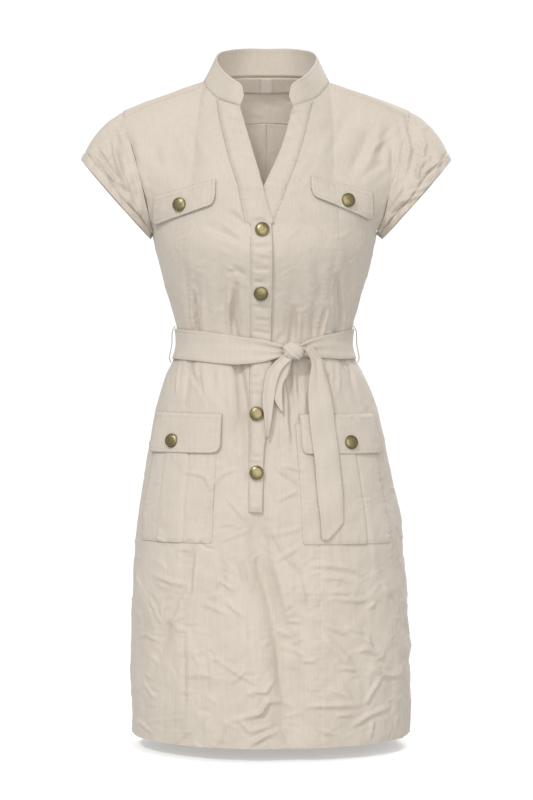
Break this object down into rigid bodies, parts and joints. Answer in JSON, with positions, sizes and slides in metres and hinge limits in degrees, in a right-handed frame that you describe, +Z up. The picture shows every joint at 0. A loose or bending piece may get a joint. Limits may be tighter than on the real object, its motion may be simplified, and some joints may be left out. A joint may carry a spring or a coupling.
{
  "type": "belted shirt dress",
  "caption": "Short cotton shirt dress with cap sleeves, standing band collar, open V, snap placket, flapped pockets and a self tie belt, in its hollow worn form.",
  "frame": {"origin": "midway between the two points where the collar seam meets the shoulder line", "axes": "+Z up, -Y the front of the dress, +X the wearer's left, on the viewer's right"},
  "size_m": [0.5026, 0.283, 0.9376],
  "materials": {
    "dress_cloth": "crumpled light cotton twill in warm stone beige",
    "tag_tape": "plain woven tape",
    "snap_brass": "antique brass, domed and rubbed on the rim"
  },
  "bodies": {
    "root": {"front_centre": "dress_cloth", "front_side_left": "dress_cloth", "front_side_right": "dress_cloth", "back_left": "dress_cloth", "back_right": "dress_cloth", "back_yoke": "dress_cloth", "collar": "dress_cloth", "placket_under": "dress_cloth", "placket_over": "dress_cloth", "sleeve_left": "dress_cloth", "sleeve_right": "dress_cloth", "cuff_left": "dress_cloth", "cuff_right": "dress_cloth", "chest_flap_left": "dress_cloth", "chest_flap_right": "dress_cloth", "hip_pocket_left": "dress_cloth", "hip_pocket_right": "dress_cloth", "hip_flap_left": "dress_cloth", "hip_flap_right": "dress_cloth", "belt_band": "dress_cloth", "belt_knot": "dress_cloth", "belt_tail_left": "dress_cloth", "belt_tail_right": "dress_cloth", "belt_loop_left": "dress_cloth", "belt_loop_right": "dress_cloth", "neck_facing": "dress_cloth", "neck_tag": "tag_tape", "button_placket_1": "snap_brass", "button_placket_2": "snap_brass", "button_placket_3": "snap_brass", "button_placket_4": "snap_brass", "button_chest_left": "snap_brass", "button_chest_right": "snap_brass", "button_hip_left": "snap_brass", "button_hip_right": "snap_brass"}
  },
  "joints": []
}
